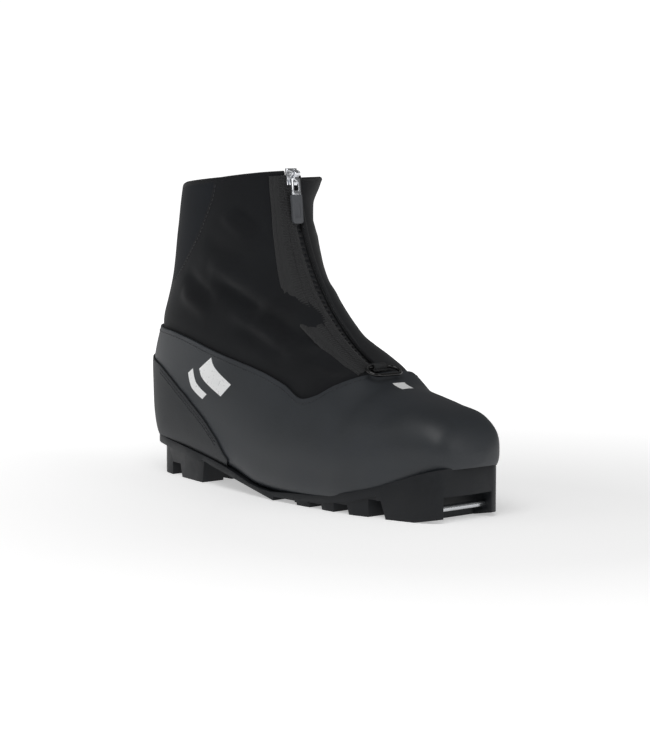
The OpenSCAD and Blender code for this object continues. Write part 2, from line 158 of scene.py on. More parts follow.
def formPoints(places, turns, offset):
    s = rowsAt(places)[:, :, None]
    c, w = np.cos(np.radians(turns))[None, :], np.sin(np.radians(turns))[None, :]
    c, w = np.where(abs(c) < 1e-9, 0, c), np.where(abs(w) < 1e-9, 0, w)
    run = s[:, 0] - s[:, 2], s[:, 1] - s[:, 3]
    high = np.hypot(*run)
    grow = offset * (1 - s[:, 11])
    full = np.where(c >= 0, np.where(w >= 0, s[:, 8], s[:, 9]), s[:, 10])
    part = np.where(c >= 0, high * (1 - s[:, 7]) + grow, high * s[:, 7] + grow)
    along = high * s[:, 7] + np.sign(c) * part * abs(c) ** (2 / full)
    half = np.where(w >= 0, s[:, 4], s[:, 5]) + grow
    x = s[:, 2] + run[0] / high * along + s[:, 11] * offset
    y = s[:, 6] - np.sign(w) * half * abs(w) ** (2 / full) + 0 * along
    z = s[:, 3] + run[1] / high * along
    return np.stack([x, y, z], -1)


rowStep = 10.5


def towards(xyz, k):
    return xyz[k] * mm if k < 2 else (xyz[k] - barHeight) * mm


def curveAt(table, x, column=1):
    table = np.array(table, float)
    slopes = curveSlopes(table)
    k = np.clip(np.searchsorted(table[:, 0], x, side="right") - 1, 0, len(table) - 2)
    width = table[k + 1, 0] - table[k, 0]
    t = (x - table[k, 0]) / width
    t = np.clip(t, 0, 1)
    t2, t3 = t * t, t * t * t
    return ((2 * t3 - 3 * t2 + 1) * table[k, column] + (t3 - 2 * t2 + t) * slopes[k, column]
            + (3 * t2 - 2 * t3) * table[k + 1, column] + (t3 - t2) * slopes[k + 1, column])


soleLine = [[-302, 30], [-286, 28], [-262, 25.5], [-248, 24.2], [-232, 22.4], [-214, 20.2],
            [-197, 17.8], [-184, 15.4], [-173, 13], [-165, 10.8], [-154, 8], [-142, 6.4], [-131, 5.4],
            [-111, 7], [-98, 8], [-85, 8.6], [-70, 11.2], [-53, 14.2], [-32, 20], [-7, 29], [10, 34],
            [26, 35]]
shellEdge = [[-310, 106], [-276, 104], [-247, 102], [-228, 98], [-211, 93], [-192, 88], [-176, 85],
             [-150, 80], [-128, 74], [-107, 67], [-96, 70], [-87, 76], [-78, 81], [-70, 85.5], [-64, 100]]
heelSeam = [[-310, 86], [-290, 83], [-263, 77], [-249, 70], [-238, 63], [-223, 54], [-207, 44.5],
            [-191, 32.5], [-180, 20.5], [-174.5, 14], [-170, 9]]
rearSeam = [[118, -310], [136, -250], [146, -236], [158, -224], [170, -213], [184, -204], [195, -199],
            [204, -197], [220, -197]]


def rearSeamX(z):
    return curveAt(rearSeam, z)


# Folds of the gaiter
# Each fold: side (-1 outer, 1 inner), start x z, end x z, half width, depth (minus is a hollow), all mm

gaiterFolds = [
    (-1, (-203, 139), (-163, 116), 7.0, -4.6),
    (-1, (-166, 116), (-112, 97), 6.0, -4.4),
    (-1, (-206, 150), (-158, 131), 8.0, 2.6),
    (-1, (-168, 129), (-118, 109), 6.5, 2.4),
    (-1, (-190, 120), (-140, 99), 6.0, 2.6),
    (-1, (-186, 107), (-132, 89), 4.5, -2.6),
    (-1, (-181, 187), (-165, 169), 4.5, -3.0),
    (-1, (-190, 183), (-172, 165), 4.5, 1.4),
    (-1, (-122, 91), (-84, 82), 3.5, -1.8),
    (-1, (-230, 142), (-200, 124), 5.5, -2.6),
    (-1, (-234, 131), (-205, 115), 6.0, 1.8),
    (-1, (-208, 165), (-170, 150), 7.0, -1.6),
    (1, (-196, 136), (-150, 112), 7.5, -3.4),
    (1, (-150, 112), (-108, 95), 6.0, -3.0),
    (1, (-200, 150), (-160, 130), 8.0, 2.0),
    (1, (-182, 190), (-162, 170), 5.0, -2.4),
    (1, (-226, 138), (-200, 122), 6.0, -2.0),
]


def foldLift(p):
    lift = np.zeros(p.shape[:-1])
    for foldSide, start, end, width, depth in gaiterFolds:
        a, b = np.array(start, float), np.array(end, float)
        run = b - a
        rel = p[..., [0, 2]] - a
        t = np.clip((rel @ run) / (run @ run), 0, 1)
        away = np.hypot(rel[..., 0] - t * run[0], rel[..., 1] - t * run[1])
        ends = np.exp(-((t - 0.5) / 0.42) ** 4)
        on = np.where(np.sign(p[..., 1] - 3) == foldSide, 1.0, 0.0)
        lift += on * 1.25 * depth * ends * np.exp(-(away / width) ** 2)
    return lift


def collarDrop(turns):
    # how far the collar's edge lies under its plane, in rows of the form
    return np.interp(turns, [0, 30, 70, 180, 250, 300, 335, 360],
                     [0.05, 0.12, 0.25, 0.25, 0.12, 0.3, 0.6, 0.62])


def surfaceNormals(p):
    du = np.gradient(p, axis=0)
    dv = np.gradient(p, axis=1)
    n = np.cross(dv, du)
    return n / np.maximum(np.linalg.norm(n, axis=-1, keepdims=True), 1e-9)


def evenTurns(places, count, offset):
    fine = np.linspace(0, 360, 721)
    rings = formPoints(places, fine, offset)
    steps = np.linalg.norm(np.diff(rings, axis=1), axis=-1)
    length = np.concatenate([np.zeros((len(rings), 1)), np.cumsum(steps, axis=1)], axis=1)
    turns = [np.interp(np.linspace(0, row[-1], count + 1), row, fine) for row in length]
    return np.array(turns)


def formSheet(start, end, rows, columns, offset):
    places = np.linspace(start, end, rows)
    turns = evenTurns(places, columns, offset)
    grid = np.array([formPoints(place, turn, offset)[0] for place, turn in zip(places, turns)])
    return places, turns, grid


# Cutting a panel out of the form


def cutPanel(name, grid, keeps, joined=True, cap=False):
    rows, columns = grid.shape[:2]
    if joined:
        grid = grid[:, :-1]
        keeps = [keep[:, :-1] for keep in keeps]
        columns -= 1
    mesh = bpy.data.meshes.new(name)
    inside = np.ones((rows, columns), bool)
    margin = 6.0
    for keep in keeps:
        inside &= keep > -margin
    bm = bmesh.new()
    layers = [bm.verts.layers.float.new(f"keep{n}") for n in range(len(keeps))]
    verts = {}
    wrap = columns if joined else columns - 1
    for i in range(rows - 1):
        for j in range(wrap):
            k = (j + 1) % columns
            corners = [(i, j), (i, k), (i + 1, k), (i + 1, j)]
            if not all(inside[c] for c in corners):
                continue
            face = []
            for c in corners:
                if c not in verts:
                    v = bm.verts.new([towards(grid[c], axis) for axis in range(3)])
                    for layer, keep in zip(layers, keeps):
                        v[layer] = float(keep[c])
                    verts[c] = v
                face.append(verts[c])
            bm.faces.new(face)
    if cap and all((rows - 1, j) in verts for j in range(wrap)):
        bm.faces.new([verts[(rows - 1, j)] for j in range(wrap)])
    for layer in layers:
        trimAlong(bm, layer)
    loose = [v for v in bm.verts if not v.link_faces]
    bmesh.ops.delete(bm, geom=loose, context="VERTS")
    bm.to_mesh(mesh)
    bm.free()
    obj = bpy.data.objects.new(name, mesh)
    bpy.context.scene.collection.objects.link(obj)
    return obj


def trimAlong(bm, layer, snap=0.18):
    # near corners are pulled onto the line first, so no sliver is left
    pulls = {}
    for edge in bm.edges:
        a, b = edge.verts
        fa, fb = a[layer], b[layer]
        if fa * fb < 0:
            t = fa / (fa - fb)
            if t < snap and (a not in pulls or t < pulls[a][0]):
                pulls[a] = (t, a.co.lerp(b.co, t))
            elif t > 1 - snap and (b not in pulls or 1 - t < pulls[b][0]):
                pulls[b] = (1 - t, a.co.lerp(b.co, t))
    for v, (_, place) in pulls.items():
        v.co = place
        v[layer] = 0.0
    for edge in list(bm.edges):
        a, b = edge.verts
        fa, fb = a[layer], b[layer]
        if fa * fb < 0:
            _, v = bmesh.utils.edge_split(edge, a, fa / (fa - fb))
            v[layer] = 0.0
    for face in list(bm.faces):
        values = [v[layer] for v in face.verts]
        if min(values) < 0 < max(values):
            zero = [v for v in face.verts if v[layer] == 0.0]
            if len(zero) == 2:
                try:
                    bmesh.utils.face_split(face, zero[0], zero[1])
                except ValueError:
                    pass
    gone = [f for f in bm.faces if sum(v[layer] for v in f.verts) < 0 or max(v[layer] for v in f.verts) <= 0]
    bmesh.ops.delete(bm, geom=gone, context="FACES")


def thicken(obj, thickness, edge=0.35, angle=50):
    applyModifier(obj, "SOLIDIFY", thickness=thickness * mm, offset=-1, use_even_offset=True)
    if edge:
        applyModifier(obj, "BEVEL", width=edge * mm, segments=2, limit_method="ANGLE",
                      angle_limit=math.radians(angle))
    smooth(obj, 35)


def sideReach(x, z, side, tree):
    start = Vector((x * mm, side * 0.2, (z - barHeight) * mm))
    place, normal, _, _ = tree.ray_cast(start, Vector((0, -side, 0)))
    return place, normal


def treeOf(obj):
    return BVHTree.FromPolygons([v.co[:] for v in obj.data.vertices],
                                [p.vertices[:] for p in obj.data.polygons])


def pathOver(points, side, tree, step=1.0):
    points = np.array(points, float)
    slopes = curveSlopes(points)
    fine = []
    for k in range(len(points) - 1):
        for t in np.linspace(0, 1, 12, endpoint=False):
            fine.append((2 * t**3 - 3 * t**2 + 1) * points[k] + (t**3 - 2 * t**2 + t) * slopes[k]
                        + (3 * t**2 - 2 * t**3) * points[k + 1] + (t**3 - t**2) * slopes[k + 1])
    fine.append(points[-1])
    track = []
    for x, z in fine:
        place, normal = sideReach(x, z, side, tree)
        if place is not None:
            track.append((place, normal))
    return evenTrack(track, step)


def evenTrack(track, step):
    places = np.array([p for p, _ in track])
    normals = np.array([n for _, n in track])
    length = np.concatenate([[0], np.cumsum(np.linalg.norm(np.diff(places, axis=0), axis=1))])
    count = max(2, int(length[-1] / (step * mm)) + 1)
    wanted = np.linspace(0, length[-1], count)
    even = np.stack([np.interp(wanted, length, places[:, k]) for k in range(3)], -1)
    lean = np.stack([np.interp(wanted, length, normals[:, k]) for k in range(3)], -1)
    lean /= np.maximum(np.linalg.norm(lean, axis=1, keepdims=True), 1e-9)
    return even, lean


# Stitches

stitchSize = {"length": 2.3, "gap": 0.8, "thread": 0.5}


def makeStitch():
    clearSelection()
    bpy.ops.mesh.primitive_uv_sphere_add(segments=6, ring_count=5, radius=0.5)
    stitch = bpy.context.object
    verts = np.array([v.co[:] for v in stitch.data.vertices])
    faces = [list(p.vertices) for p in stitch.data.polygons]
    bpy.data.objects.remove(stitch)
    return verts, faces


stitchVerts, stitchFaces = makeStitch()


def sewAlong(name, tracks, size=stitchSize, sink=0.15, slant=0.0, proud=0.0):
    verts, faces = [], []
    pitch = size["length"] + size["gap"]
    for places, normals in tracks:
        steps = np.linalg.norm(np.diff(places, axis=0), axis=1)
        length = np.concatenate([[0], np.cumsum(steps)])
        for n in range(int(length[-1] / mm / pitch)):
            middle = (n + 0.5) * pitch * mm
            ends = [np.array([np.interp(middle + d * size["length"] * mm / 2, length, places[:, k])
                              for k in range(3)]) for d in (-1, 1)]
            up = np.array([np.interp(middle, length, normals[:, k]) for k in range(3)])
            along = ends[1] - ends[0]
            reach = np.linalg.norm(along)
            if reach < 0.3 * mm:
                continue
            along /= reach
            across = np.cross(up, along)
            across /= np.linalg.norm(across)
            if slant:
                turn = slant * (1 if n % 2 else -1)
                along, across = (along * math.cos(turn) + across * math.sin(turn),
                                 across * math.cos(turn) - along * math.sin(turn))
            up = np.cross(along, across)
            thread = size["thread"] * mm
            centre = (ends[0] + ends[1]) / 2 + up * (thread * (0.5 - sink) + proud * mm)
            base = len(verts)
            for v in stitchVerts:
                verts.append(centre + along * v[2] * reach + across * v[0] * thread + up * v[1] * thread)
            faces += [[base + k for k in f] for f in stitchFaces]
    obj = newObject(name, verts, faces)
    smooth(obj, 180)
    return obj


def aboveLine(grid, line, drop=0.0):
    return grid[..., 2] - curveAt(line, grid[..., 0]) + drop


# Materials


def linear(hexColour):
    channels = [int(hexColour[k:k + 2], 16) / 255 for k in (1, 3, 5)]
    return [c / 12.92 if c <= 0.04045 else ((c + 0.055) / 1.055) ** 2.4 for c in channels] + [1.0]


def addNode(tree, kind, settings=None, **links):
    # settings: attributes, or sockets where the name is one; links: socket name to an output
    node = tree.nodes.new(kind)
    for key, value in (settings or {}).items():
        if hasattr(node, key):
            setattr(node, key, value)
        else:
            node.inputs[key].default_value = value
    for key, output in links.items():
        tree.links.new(output, node.inputs[key.replace("_", " ")])
    return node


def newMaterial(name, colour, roughness, metallic=0.0, **sockets):
    material = bpy.data.materials.new(name)
    material.use_nodes = True
    tree = material.node_tree
    shader = tree.nodes["Principled BSDF"]
    shader.inputs["Base Color"].default_value = linear(colour)
    shader.inputs["Roughness"].default_value = roughness
    shader.inputs["Metallic"].default_value = metallic
    for key, value in sockets.items():
        shader.inputs[key.replace("_", " ")].default_value = value
    place = addNode(tree, "ShaderNodeTexCoord").outputs["Object"]
    return material, tree, shader, place


def rampBetween(tree, factor, low, high, start=0.3, end=0.7):
    ramp = addNode(tree, "ShaderNodeValToRGB", None, Fac=factor)
    ramp.color_ramp.elements[0].position = start
    ramp.color_ramp.elements[0].color = linear(low)
    ramp.color_ramp.elements[1].position = end
    ramp.color_ramp.elements[1].color = linear(high)
    return ramp


# Coated synthetic leather of the lower shell: embossed pebble grain 0.9 mm, matt polyurethane face
shellLeather, tree, shader, place = newMaterial("shellLeather", "#24282c", 0.52, Coat_Weight=0.08,
                                                Coat_Roughness=0.35)
clouds = addNode(tree, "ShaderNodeTexNoise", {"Scale": 22.0, "Detail": 4.0}, Vector=place)
tree.links.new(rampBetween(tree, clouds.outputs["Fac"], "#212529", "#282c31").outputs["Color"],
               shader.inputs["Base Color"])
grain = addNode(tree, "ShaderNodeTexVoronoi", {"Scale": 1100.0, "Randomness": 1.0}, Vector=place)
fine = addNode(tree, "ShaderNodeTexNoise", {"Scale": 2600.0, "Detail": 2.0}, Vector=place)
both = addNode(tree, "ShaderNodeMath", {"operation": "ADD"})
tree.links.new(grain.outputs["Distance"], both.inputs[0])
tree.links.new(fine.outputs["Fac"], both.inputs[1])
bump = addNode(tree, "ShaderNodeBump", {"Strength": 0.22, "Distance": 0.00012}, Height=both.outputs[0])
tree.links.new(bump.outputs["Normal"], shader.inputs["Normal"])
gloss = addNode(tree, "ShaderNodeMapRange",
                {"From Min": 0.3, "From Max": 0.7, "To Min": 0.46, "To Max": 0.58},
                Value=clouds.outputs["Fac"])
tree.links.new(gloss.outputs["Result"], shader.inputs["Roughness"])

# Heel panel: thicker welded overlay with a coarser emboss, a shade lighter
heelLeather, tree, shader, place = newMaterial("heelLeather", "#2b2d30", 0.6, Specular_IOR_Level=0.3)
clouds = addNode(tree, "ShaderNodeTexNoise", {"Scale": 30.0, "Detail": 4.0}, Vector=place)
tree.links.new(rampBetween(tree, clouds.outputs["Fac"], "#282a2d", "#303234").outputs["Color"],
               shader.inputs["Base Color"])
grain = addNode(tree, "ShaderNodeTexVoronoi", {"Scale": 900.0}, Vector=place)
bump = addNode(tree, "ShaderNodeBump", {"Strength": 0.35, "Distance": 0.00015},
               Height=grain.outputs["Distance"])
tree.links.new(bump.outputs["Normal"], shader.inputs["Normal"])

# Softshell of the gaiter: a stretch weave with a napped face, threads 0.6 mm apart so that they show
softshell, tree, shader, place = newMaterial("softshell", "#0e0f12", 0.88,
                                             Specular_IOR_Level=0.25, Sheen_Weight=0.1, Sheen_Roughness=0.45)
clouds = addNode(tree, "ShaderNodeTexNoise", {"Scale": 26.0, "Detail": 5.0}, Vector=place)
tree.links.new(rampBetween(tree, clouds.outputs["Fac"], "#0c0d10", "#111316").outputs["Color"],
               shader.inputs["Base Color"])
weave = addNode(tree, "ShaderNodeTexVoronoi", {"Scale": 1700.0, "Randomness": 0.55}, Vector=place)
bump = addNode(tree, "ShaderNodeBump", {"Strength": 0.3, "Distance": 0.00012},
               Height=weave.outputs["Distance"])
tree.links.new(bump.outputs["Normal"], shader.inputs["Normal"])

# Ribbed stretch softshell at the back of the leg: fine ribs 1.2 mm apart
softshellRear, tree, shader, place = newMaterial("softshellRear", "#111419", 0.88,
                                                 Specular_IOR_Level=0.2, Sheen_Weight=0.05,
                                                 Sheen_Roughness=0.5)
clouds = addNode(tree, "ShaderNodeTexNoise", {"Scale": 26.0, "Detail": 5.0}, Vector=place)
tree.links.new(rampBetween(tree, clouds.outputs["Fac"], "#0f1217", "#15181d").outputs["Color"],
               shader.inputs["Base Color"])
weave = addNode(tree, "ShaderNodeTexVoronoi", {"Scale": 1500.0, "Randomness": 0.5}, Vector=place)
bump = addNode(tree, "ShaderNodeBump", {"Strength": 0.35, "Distance": 0.00012},
               Height=weave.outputs["Distance"])
tree.links.new(bump.outputs["Normal"], shader.inputs["Normal"])

# Woven polyester tape of the zip and the collar's binding
zipTape, tree, shader, place = newMaterial("zipTape", "#0e0f11", 0.7, Sheen_Weight=0.15)
weave = addNode(tree, "ShaderNodeTexWave", {"Scale": 620.0, "Distortion": 0.4, "bands_direction": "Z"},
                Vector=place)
cross = addNode(tree, "ShaderNodeTexWave", {"Scale": 700.0, "Distortion": 0.4, "bands_direction": "Y"},
                Vector=place)
both = addNode(tree, "ShaderNodeMath", {"operation": "MULTIPLY"})
tree.links.new(weave.outputs["Fac"], both.inputs[0])
tree.links.new(cross.outputs["Fac"], both.inputs[1])
tree.links.new(rampBetween(tree, both.outputs[0], "#0c0d0f", "#151619", 0.1, 0.9).outputs["Color"],
               shader.inputs["Base Color"])
bump = addNode(tree, "ShaderNodeBump", {"Strength": 0.5, "Distance": 0.00015}, Height=both.outputs[0])
tree.links.new(bump.outputs["Normal"], shader.inputs["Normal"])

# Bonded polyester thread, twisted, slightly shiny
thread, tree, shader, place = newMaterial("thread", "#2c2d30", 0.5)
twist = addNode(tree, "ShaderNodeTexWave", {"Scale": 1500.0, "bands_direction": "DIAGONAL"}, Vector=place)
tree.links.new(rampBetween(tree, twist.outputs["Fac"], "#232427", "#303235").outputs["Color"],
               shader.inputs["Base Color"])

# Brushed fleece of the lining, with a short pile
fleece, tree, shader, place = newMaterial("fleece", "#34363a", 0.95, Sheen_Weight=0.5, Sheen_Roughness=0.6)
pile = addNode(tree, "ShaderNodeTexNoise", {"Scale": 900.0, "Detail": 3.0}, Vector=place)
tree.links.new(rampBetween(tree, pile.outputs["Fac"], "#111419", "#3e4045").outputs["Color"],
               shader.inputs["Base Color"])
bump = addNode(tree, "ShaderNodeBump", {"Strength": 0.7, "Distance": 0.0004}, Height=pile.outputs["Fac"])
tree.links.new(bump.outputs["Normal"], shader.inputs["Normal"])

# Spacer mesh of the tongue: open hexagons 2 mm apart
spacerMesh, tree, shader, place = newMaterial("spacerMesh", "#26282b", 0.85, Sheen_Weight=0.2)
cells = addNode(tree, "ShaderNodeTexVoronoi", {"Scale": 480.0, "Randomness": 0.1}, Vector=place)
tree.links.new(rampBetween(tree, cells.outputs["Distance"], "#141517", "#303236", 0.1, 0.45).outputs["Color"],
               shader.inputs["Base Color"])
bump = addNode(tree, "ShaderNodeBump", {"Strength": 0.6, "Distance": 0.0004},
               Height=cells.outputs["Distance"])
tree.links.new(bump.outputs["Normal"], shader.inputs["Normal"])

# Injection-moulded rubber of the sole: satin, with dust in the spark-eroded texture
soleRubber, tree, shader, place = newMaterial("soleRubber", "#1c1e21", 0.55, Specular_IOR_Level=0.25)
dust = addNode(tree, "ShaderNodeTexNoise", {"Scale": 60.0, "Detail": 6.0, "Roughness": 0.65}, Vector=place)
tree.links.new(rampBetween(tree, dust.outputs["Fac"], "#181a1d", "#1f2124").outputs["Color"],
               shader.inputs["Base Color"])
spark = addNode(tree, "ShaderNodeTexNoise", {"Scale": 1800.0, "Detail": 3.0}, Vector=place)
bump = addNode(tree, "ShaderNodeBump", {"Strength": 0.25, "Distance": 0.0001}, Height=spark.outputs["Fac"])
tree.links.new(bump.outputs["Normal"], shader.inputs["Normal"])
gloss = addNode(tree, "ShaderNodeMapRange", {"From Min": 0.3, "From Max": 0.7, "To Min": 0.42, "To Max": 0.6},
                Value=dust.outputs["Fac"])
tree.links.new(gloss.outputs["Result"], shader.inputs["Roughness"])

# Polished chrome plate on zinc and steel, with faint wipe marks
chrome, tree, shader, place = newMaterial("chrome", "#dcdee2", 0.14, metallic=1.0)
wipe = addNode(tree, "ShaderNodeTexNoise", {"Scale": 240.0, "Detail": 4.0}, Vector=place)
gloss = addNode(tree, "ShaderNodeMapRange", {"To Min": 0.08, "To Max": 0.24}, Value=wipe.outputs["Fac"])
tree.links.new(gloss.outputs["Result"], shader.inputs["Roughness"])
tree.links.new(rampBetween(tree, wipe.outputs["Fac"], "#d2d4d8", "#e4e6ea").outputs["Color"],
               shader.inputs["Base Color"])

# Turned steel of the toe bar, lines round the bar from the lathe
barSteel, tree, shader, place = newMaterial("barSteel", "#cfd1d4", 0.2, metallic=1.0)
turning = addNode(tree, "ShaderNodeTexNoise", {"Scale": 900.0, "Detail": 3.0}, Vector=place)
gloss = addNode(tree, "ShaderNodeMapRange", {"To Min": 0.14, "To Max": 0.3}, Value=turning.outputs["Fac"])
tree.links.new(gloss.outputs["Result"], shader.inputs["Roughness"])

# Soft PVC of the puller's tag, moulded with a fine matt texture
tagRubber, tree, shader, place = newMaterial("tagRubber", "#46484c", 0.55)
spark = addNode(tree, "ShaderNodeTexNoise", {"Scale": 1500.0, "Detail": 2.0}, Vector=place)
tree.links.new(rampBetween(tree, spark.outputs["Fac"], "#424448", "#4a4c50").outputs["Color"],
               shader.inputs["Base Color"])
bump = addNode(tree, "ShaderNodeBump", {"Strength": 0.2, "Distance": 0.0001}, Height=spark.outputs["Fac"])
tree.links.new(bump.outputs["Normal"], shader.inputs["Normal"])

# Polished acetal of the gaiter's ring, glossy from the mould
ringPlastic, tree, shader, place = newMaterial("ringPlastic", "#0d0d0e", 0.16)
flow = addNode(tree, "ShaderNodeTexNoise", {"Scale": 120.0, "Detail": 2.0}, Vector=place)
gloss = addNode(tree, "ShaderNodeMapRange", {"To Min": 0.1, "To Max": 0.24}, Value=flow.outputs["Fac"])
tree.links.new(gloss.outputs["Result"], shader.inputs["Roughness"])

# Nylon webbing: plain weave with threads 0.8 mm wide
webbing, tree, shader, place = newMaterial("webbing", "#1e1f21", 0.7)
along = addNode(tree, "ShaderNodeTexWave", {"Scale": 380.0, "bands_direction": "Z"}, Vector=place)
across = addNode(tree, "ShaderNodeTexWave", {"Scale": 380.0, "bands_direction": "Y"}, Vector=place)
both = addNode(tree, "ShaderNodeMath", {"operation": "MULTIPLY"})
tree.links.new(along.outputs["Fac"], both.inputs[0])
tree.links.new(across.outputs["Fac"], both.inputs[1])
tree.links.new(rampBetween(tree, both.outputs[0], "#151617", "#2a2b2e", 0.1, 0.9).outputs["Color"],
               shader.inputs["Base Color"])
bump = addNode(tree, "ShaderNodeBump", {"Strength": 0.6, "Distance": 0.0003}, Height=both.outputs[0])
tree.links.new(bump.outputs["Normal"], shader.inputs["Normal"])

# Screen-printed ink on the shell, slightly worn through on the grain
printInk, tree, shader, place = newMaterial("printInk", "#e9eaea", 0.5)
wear = addNode(tree, "ShaderNodeTexNoise", {"Scale": 700.0, "Detail": 5.0}, Vector=place)
tree.links.new(rampBetween(tree, wear.outputs["Fac"], "#b9babb", "#eeefef", 0.28, 0.4).outputs["Color"],
               shader.inputs["Base Color"])

# Felted top cloth of the footbed
feltCloth, tree, shader, place = newMaterial("feltCloth", "#3a3c40", 0.95, Sheen_Weight=0.3)
fibres = addNode(tree, "ShaderNodeTexNoise", {"Scale": 700.0, "Detail": 6.0, "Distortion": 1.2}, Vector=place)
tree.links.new(rampBetween(tree, fibres.outputs["Fac"], "#2f3135", "#484a4f").outputs["Color"],
               shader.inputs["Base Color"])
bump = addNode(tree, "ShaderNodeBump", {"Strength": 0.5, "Distance": 0.0003}, Height=fibres.outputs["Fac"])
tree.links.new(bump.outputs["Normal"], shader.inputs["Normal"])

# EVA foam of the midsole: closed cells 0.5 mm
evaFoam, tree, shader, place = newMaterial("evaFoam", "#26272a", 0.8)
cells = addNode(tree, "ShaderNodeTexVoronoi", {"Scale": 1600.0}, Vector=place)
bump = addNode(tree, "ShaderNodeBump", {"Strength": 0.3, "Distance": 0.0002},
               Height=cells.outputs["Distance"])
tree.links.new(bump.outputs["Normal"], shader.inputs["Normal"])

# Cellulose fibre board, pressed, with flecks
fibreBoard, tree, shader, place = newMaterial("fibreBoard", "#b39d76", 0.85)
flecks = addNode(tree, "ShaderNodeTexNoise", {"Scale": 500.0, "Detail": 8.0, "Distortion": 0.8}, Vector=place)
tree.links.new(rampBetween(tree, flecks.outputs["Fac"], "#8e7a58", "#c4b08a").outputs["Color"],
               shader.inputs["Base Color"])

# Glass-filled nylon of the shank, moulded
shankNylon, tree, shader, place = newMaterial("shankNylon", "#cfc6a4", 0.5)
fibres = addNode(tree, "ShaderNodeTexNoise", {"Scale": 400.0, "Detail": 5.0, "Distortion": 0.6}, Vector=place)
tree.links.new(rampBetween(tree, fibres.outputs["Fac"], "#c2b894", "#d8d0b2").outputs["Color"],
               shader.inputs["Base Color"])
print("materials made")

# Lower shell, lasted in one piece over the foot
shellCut = {"rows": 250, "columns": 190, "proud": 0.9, "thickness": 1.8, "edge": 0.5, "underSole": 1.5}

places, turns, grid = formSheet(2.5, 20, shellCut["rows"], shellCut["columns"], shellCut["proud"])
keeps = [-aboveLine(grid, shellEdge), aboveLine(grid, soleLine, shellCut["underSole"])]
shell = cutPanel("shell", grid, keeps, cap=True)
shellTree = treeOf(shell)
thicken(shell, shellCut["thickness"], shellCut["edge"])
settle(shell, "boot", "shell_laminate", shellLeather, "shell")
print("shell cut")

# Heel panel, welded on over the shell
heelCut = {"rows": 110, "columns": 190, "proud": 2.2, "thickness": 1.2, "edge": 0.45, "underSole": 1.0,
           "front": -174.5}

places, turns, grid = formSheet(3, 9, heelCut["rows"], heelCut["columns"], heelCut["proud"])
keeps = [-aboveLine(grid, heelSeam), aboveLine(grid, soleLine, heelCut["underSole"]),
         heelCut["front"] - grid[..., 0]]
heelPanel = cutPanel("heelPanel", grid, keeps)
heelTree = treeOf(heelPanel)
thicken(heelPanel, heelCut["thickness"], heelCut["edge"])
settle(heelPanel, "boot", "heel_laminate", heelLeather, "heel_panel")
print("heel panel cut")

# Gaiter: softshell tucked under the shell's edge, puffed above it and creased at the ankle
gaiterCut = {"rows": 230, "columns": 190, "thickness": 1.4, "tuck": 8.0, "puff": 1.6, "top": 0.32,
             "zipGap": 4.2}


def gaiterGrid(offset=-1.2):
    places, turns, grid = formSheet(gaiterCut["top"] - 0.1, 11.6, gaiterCut["rows"], gaiterCut["columns"],
                                    offset)
    hem = (places[:, None] - gaiterCut["top"] - collarDrop(turns)) * rowStep
    normals = surfaceNormals(grid)
    height = aboveLine(grid, shellEdge)
    over = np.clip(height / 12, 0, 1)
    puff = gaiterCut["puff"] * np.sin(over * math.pi / 2) * np.exp(-np.maximum(height, 0) / 45)
    lift = foldLift(grid) * np.clip(aboveLine(grid, shellEdge) / 6, 0, 1)
    return grid + normals * (puff + lift)[..., None], hem


grid, hem = gaiterGrid()
outerGaiter = cutPanel("gaiterOuter", grid, [hem, aboveLine(grid, shellEdge, gaiterCut["tuck"]),
                                             grid[..., 0] - rearSeamX(grid[..., 2]),
                                             zipSide - gaiterCut["zipGap"] - grid[..., 1]])
innerGaiter = cutPanel("gaiterInner", grid, [hem, aboveLine(grid, shellEdge, gaiterCut["tuck"]),
                                             grid[..., 0] - rearSeamX(grid[..., 2]),
                                             grid[..., 1] - zipSide - gaiterCut["zipGap"]])
rearGaiter = cutPanel("gaiterRear", grid, [hem, aboveLine(grid, shellEdge, gaiterCut["tuck"]),
                                           rearSeamX(grid[..., 2]) + 0.3 - grid[..., 0]])
outerTree, innerTree = treeOf(outerGaiter), treeOf(innerGaiter)
for panel, finish, slot, node in ((outerGaiter, softshell, "softshell", "gaiter_lateral"),
                                  (innerGaiter, softshell, "softshell", "gaiter_medial"),
                                  (rearGaiter, softshellRear, "softshell_rear", "gaiter_rear")):
    thicken(panel, gaiterCut["thickness"], 0.4)
    settle(panel, "boot", slot, finish, node)
print("gaiter cut")

# Zip bands: tape and turned-in softshell beside the slit, with two rows of ribbed stitching on the outer side
bandProfiles = {
    -1: [(0.5, -2.4), (0.55, -0.9), (0.9, 0.1), (1.6, 0.35), (2.5, 0.35), (2.85, 0.0), (3.2, 0.3),
         (4.0, 0.45), (5.5, 0.45), (6.3, 0.3), (6.75, -0.2), (7.2, 0.3), (8.0, 0.45), (9.6, 0.45), (10.3, 0.3),
         (10.7, -0.05), (11.5, 0.1), (12.9, 0.1), (13.3, -0.15), (13.7, 0.2), (14.7, 0.15), (15.2, -0.2),
         (15.6, -1.6)],
    1: [(0.5, -2.4), (0.6, -1.0), (1.0, -0.35), (2.0, -0.15), (4.0, -0.2), (6.0, -0.3), (8.0, -0.55),
        (9.2, -0.95), (9.8, -1.9)]}
bandCut = {"step": 0.34, "start": 0.55, "end": 10.86, "across": 56, "ribPitch": 1.75, "ribHeight": 0.34,
           "zigzag": 2.3, "narrow": 0.8}
bandStart, bandEnd = bandCut["start"], bandCut["end"]


def besideZip(place, side, distances, offsets):
    # points of a section at given sideways distances from the slit
    turns = np.linspace(0, 75, 400) * (1 if side < 0 else -1)
    low = formPoints(place, turns, 0.0)[0]
    away = side * (low[:, 1] - zipSide)
    order = np.argsort(away)
    turn = np.interp(distances, away[order], turns[order])
    points = formPoints(place, turn, 0.0)[0]
    normals = formPoints(place, turn, 1.0)[0] - points
    return points + normals * offsets[:, None]


